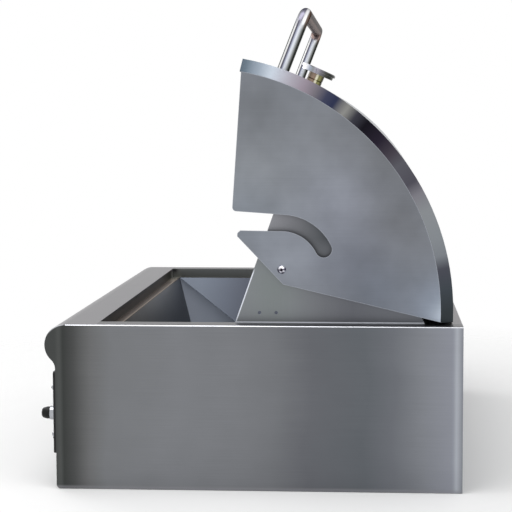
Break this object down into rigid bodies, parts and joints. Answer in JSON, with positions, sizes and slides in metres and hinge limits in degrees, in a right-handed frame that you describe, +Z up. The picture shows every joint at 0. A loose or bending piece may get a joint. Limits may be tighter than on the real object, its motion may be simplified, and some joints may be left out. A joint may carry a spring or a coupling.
{
  "type": "built-in gas grill",
  "caption": "Built-in stainless gas grill with a bullnose front, black control panel, tapered firebox, quarter-round hood on side pivots and a drip-tray drawer.",
  "frame": {"origin": "middle of the cabinet's underside", "axes": "+X to the user's right along the front, +Y from the front to the back, +Z up"},
  "size_m": [0.76, 0.66, 0.7282],
  "materials": {
    "brushed_sheet": "brushed stainless sheet",
    "hood_sheet": "satin stainless sheet",
    "satin_sheet": "satin stainless sheet",
    "galvanised_sheet": "plain galvanised sheet",
    "heat_stained_sheet": "stainless sheet, straw tint from heat",
    "polished_steel": "mirror polished",
    "grate_steel": "round rod, satin",
    "pipe_steel": "dark painted pipe",
    "brass": "machined",
    "black_enamel": "gloss black enamel",
    "black_plastic": "moulded, fine grain",
    "black_rubber": "matt",
    "ceramic": "glazed ceramic",
    "dial_white": "satin print on white",
    "clear_glass": "clear",
    "needle_red": "satin"
  },
  "bodies": {
    "cabinet": {"side_panel_left": "brushed_sheet", "side_panel_right": "brushed_sheet", "front_fascia": "brushed_sheet", "rear_panel": "galvanised_sheet", "base_pan": "galvanised_sheet", "rear_deck": "brushed_sheet", "firebox_hopper": "satin_sheet", "burner_box": "heat_stained_sheet", "control_panel": "black_enamel", "panel_screws": "polished_steel", "knob_bezels": "polished_steel", "gas_valves": "brass", "gas_manifold": "pipe_steel", "gas_inlet": "brass", "burner_tube_1": "heat_stained_sheet", "burner_tube_2": "heat_stained_sheet", "burner_tube_3": "heat_stained_sheet", "heat_tent_1": "heat_stained_sheet", "heat_tent_2": "heat_stained_sheet", "heat_tent_3": "heat_stained_sheet", "cooking_grate_1": "grate_steel", "cooking_grate_2": "grate_steel", "cooking_grate_3": "grate_steel", "igniter_collar": "polished_steel", "igniter_module": "black_plastic", "igniter_electrodes": "ceramic", "tray_runners": "galvanised_sheet", "upright_left": "satin_sheet", "upright_right": "satin_sheet", "back_wall": "satin_sheet", "hood_stops": "black_rubber", "pivot_bushes": "brass", "pivot_screws": "polished_steel", "pivot_nuts": "polished_steel"},
    "hood": {"hood_skin": "hood_sheet", "hood_bevels": "polished_steel", "hood_side_left": "hood_sheet", "hood_side_right": "hood_sheet", "hood_bumpers": "black_rubber", "handle": "polished_steel", "handle_fixings": "polished_steel", "thermometer_boss": "brass", "thermometer_case": "polished_steel", "thermometer_dial": "dial_white", "thermometer_glass": "clear_glass", "thermometer_probe": "polished_steel"},
    "needle": {"thermometer_needle": "needle_red"},
    "drawer": {"drip_tray": "satin_sheet", "tray_front": "brushed_sheet"},
    "igniter": {"igniter_button": "black_plastic"},
    "push_1": {"stem_washer_1": "brass"},
    "knob_1": {"burner_knob_1": "black_plastic", "valve_stem_1": "polished_steel"},
    "push_2": {"stem_washer_2": "brass"},
    "knob_2": {"burner_knob_2": "black_plastic", "valve_stem_2": "polished_steel"},
    "push_3": {"stem_washer_3": "brass"},
    "knob_3": {"burner_knob_3": "black_plastic", "valve_stem_3": "polished_steel"}
  },
  "joints": [
    {"name": "hood_hinge", "type": "hinge", "parent": "cabinet", "child": "hood", "pos_m": [0, 0.03499, 0.3297], "axis": [1, 0, 0], "range_deg": [0, 94]},
    {"name": "drawer_slide", "type": "slide", "parent": "cabinet", "child": "drawer", "axis": [0, -1, 0], "range_m": [0, 0.4]},
    {"name": "igniter_push", "type": "slide", "parent": "cabinet", "child": "igniter", "axis": [0, 1, 0], "range_m": [0, 0.005], "stiffness_N_per_m": 900, "springref_m": -0.003},
    {"name": "needle_turn", "type": "hinge", "parent": "hood", "child": "needle", "pos_m": [0, 0.07203, 0.63274], "axis": [0, 0.4067, 0.9135], "range_deg": [-270, 0], "stiffness_Nm_per_rad": 0.0005},
    {"name": "knob_push_1", "type": "slide", "parent": "cabinet", "child": "push_1", "axis": [0, 1, 0], "range_m": [0, 0.004], "stiffness_N_per_m": 1500, "springref_m": -0.003},
    {"name": "knob_turn_1", "type": "hinge", "parent": "push_1", "child": "knob_1", "pos_m": [-0.16318, -0.31, 0.106], "axis": [0, -1, 0], "range_deg": [0, 225]},
    {"name": "knob_push_2", "type": "slide", "parent": "cabinet", "child": "push_2", "axis": [0, 1, 0], "range_m": [0, 0.004], "stiffness_N_per_m": 1500, "springref_m": -0.003},
    {"name": "knob_turn_2", "type": "hinge", "parent": "push_2", "child": "knob_2", "pos_m": [0, -0.31, 0.106], "axis": [0, -1, 0], "range_deg": [0, 225]},
    {"name": "knob_push_3", "type": "slide", "parent": "cabinet", "child": "push_3", "axis": [0, 1, 0], "range_m": [0, 0.004], "stiffness_N_per_m": 1500, "springref_m": -0.003},
    {"name": "knob_turn_3", "type": "hinge", "parent": "push_3", "child": "knob_3", "pos_m": [0.16318, -0.31, 0.106], "axis": [0, -1, 0], "range_deg": [0, 225]}
  ]
}
